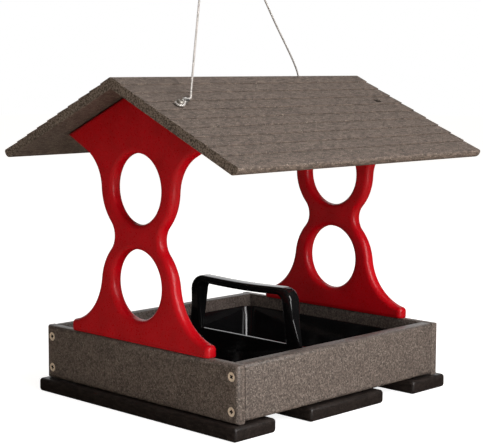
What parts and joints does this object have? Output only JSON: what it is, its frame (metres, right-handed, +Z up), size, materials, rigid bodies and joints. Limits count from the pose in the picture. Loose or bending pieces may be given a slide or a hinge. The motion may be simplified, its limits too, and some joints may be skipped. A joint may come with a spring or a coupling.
{
  "type": "bird feeder",
  "caption": "Fly-through bird feeder with a gabled roof on round-holed end supports, a slatted frame, a lift-out seed tray with a handle and a hanging cable.",
  "frame": {"origin": "on the ground under the middle of the feeder, at the underside of the centre slat", "axes": "+X along the ridge to the right, +Y across the ridge to the back, +Z up"},
  "size_m": [0.3292, 0.309, 0.4663],
  "materials": {
    "grey_lumber": "satin speckled grey recycled-plastic lumber",
    "roof_lumber": "rough-sawn grey-brown recycled-plastic lumber with lap lines",
    "black_lumber": "satin black recycled-plastic lumber",
    "red_lumber": "semi-gloss red recycled-plastic lumber",
    "tray_plastic": "glossy black moulded plastic",
    "screw_steel": "stainless screw",
    "dark_screw": "dark coated screw",
    "ferrule_metal": "crimped ferrule",
    "cable_steel": "stranded stainless cable"
  },
  "bodies": {
    "feeder": {"end_board_left": "grey_lumber", "end_board_right": "grey_lumber", "side_board_front": "grey_lumber", "side_board_back": "grey_lumber", "base_slat_left": "black_lumber", "base_slat_centre": "black_lumber", "base_slat_right": "black_lumber", "end_support_left": "red_lumber", "end_support_right": "red_lumber", "roof_panel_front": "roof_lumber", "roof_panel_back": "roof_lumber", "frame_screw_1": "screw_steel", "frame_screw_2": "screw_steel", "frame_screw_3": "screw_steel", "frame_screw_4": "screw_steel", "frame_screw_5": "screw_steel", "frame_screw_6": "screw_steel", "frame_screw_7": "screw_steel", "frame_screw_8": "screw_steel", "slat_screw_1": "screw_steel", "slat_screw_2": "screw_steel", "slat_screw_3": "screw_steel", "slat_screw_4": "screw_steel", "slat_screw_5": "screw_steel", "slat_screw_6": "screw_steel", "slat_screw_7": "screw_steel", "slat_screw_8": "screw_steel", "support_screw_1": "screw_steel", "support_screw_2": "screw_steel", "support_screw_3": "screw_steel", "support_screw_4": "screw_steel", "roof_screw_1": "dark_screw", "roof_screw_2": "dark_screw", "cable_screw_1": "screw_steel", "cable_screw_2": "screw_steel", "cable_ferrule_1": "ferrule_metal", "cable_ferrule_2": "ferrule_metal", "hanging_cable": "cable_steel"},
    "tray": {"seed_tray": "tray_plastic"}
  },
  "joints": [
    {"name": "tray_lift", "type": "slide", "parent": "feeder", "child": "tray", "axis": [0, 0, 1], "range_m": [0, 0.055]}
  ]
}
